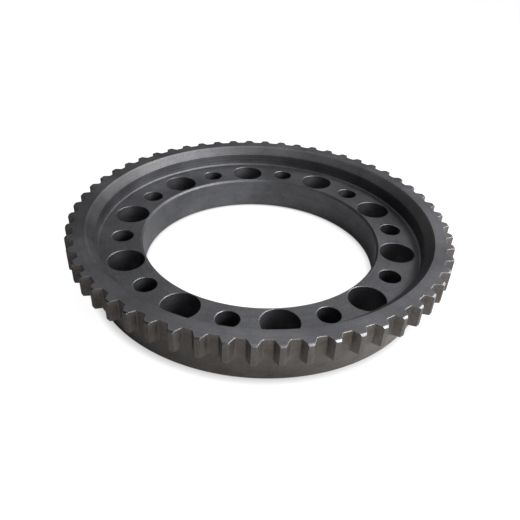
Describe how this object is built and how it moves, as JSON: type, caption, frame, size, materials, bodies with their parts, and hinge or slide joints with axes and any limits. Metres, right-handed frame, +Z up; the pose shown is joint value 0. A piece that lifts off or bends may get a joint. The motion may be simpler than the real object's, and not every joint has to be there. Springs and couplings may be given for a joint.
{
  "type": "externally toothed ring gear hub",
  "caption": "Flat toothed steel ring that carries an internal ring gear on its outer spline and bolts to a flange through large and small holes.",
  "frame": {"origin": "centre of the bottom face, on the ring's axis", "axes": "+Z up along the ring's axis, towards the recess; +X through the centre of a large hole and of a tooth gap"},
  "size_m": [0.3984, 0.3984, 0.059],
  "materials": {
    "dark_steel": "dark phosphated steel, turned and hobbed"
  },
  "bodies": {
    "root": {"ring_gear_hub": "dark_steel"}
  },
  "joints": []
}
